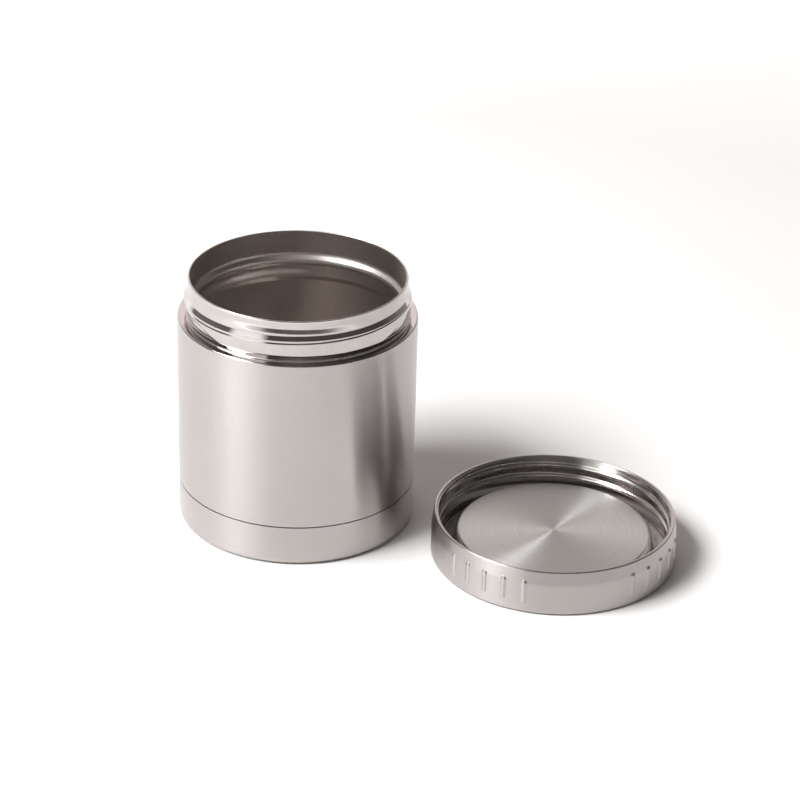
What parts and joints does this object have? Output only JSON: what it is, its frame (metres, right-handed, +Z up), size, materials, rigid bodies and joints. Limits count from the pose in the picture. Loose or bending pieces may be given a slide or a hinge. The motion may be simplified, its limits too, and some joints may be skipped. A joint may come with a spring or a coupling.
{
  "type": "insulated food jar",
  "caption": "Double-walled steel vacuum food jar with an open threaded neck and its screw-on lid lying upside down beside it.",
  "frame": {"origin": "centre of the jar's base, on the surface that it stands on", "axes": "+Z up along the jar's axis, out of its mouth; +X towards the lid that lies beside it; +Y to the back"},
  "size_m": [0.2045, 0.0978, 0.104],
  "materials": {
    "brushed_shell": "stainless steel brushed round the wall, polished on the neck",
    "brushed_base": "stainless steel brushed round the wall",
    "satin_vessel": "electropolished satin stainless steel",
    "raw_steel": "plain rolled stainless steel",
    "solder_glass": "fired sealing glass",
    "copper_foil": "bright rolled copper foil",
    "getter_powder": "pressed metal powder",
    "clip_steel": "thin spring strip",
    "brushed_lid": "stainless steel brushed round the wall",
    "liner_steel": "polished thread wall, circular brushed centre disc",
    "core_foam": "rigid insulating foam",
    "silicone": "soft translucent silicone"
  },
  "bodies": {
    "jar": {"outer_shell": "brushed_shell", "base_cover": "brushed_base", "inner_vessel": "satin_vessel", "jacket_bottom": "raw_steel", "port_seal": "solder_glass", "radiation_foil": "copper_foil", "getter_pill": "getter_powder", "getter_clip": "clip_steel"},
    "lid": {"lid_shell": "brushed_lid", "lid_liner": "liner_steel", "lid_core": "core_foam"},
    "gasket": {"lid_gasket": "silicone"}
  },
  "joints": [
    {"name": "lid_lift", "type": "slide", "parent": "jar", "child": "lid", "axis": [0, 0, 1], "range_m": [0, 0.12]},
    {"name": "gasket_pull", "type": "slide", "parent": "lid", "child": "gasket", "axis": [0, 0, 1], "range_m": [0, 0.03]}
  ]
}
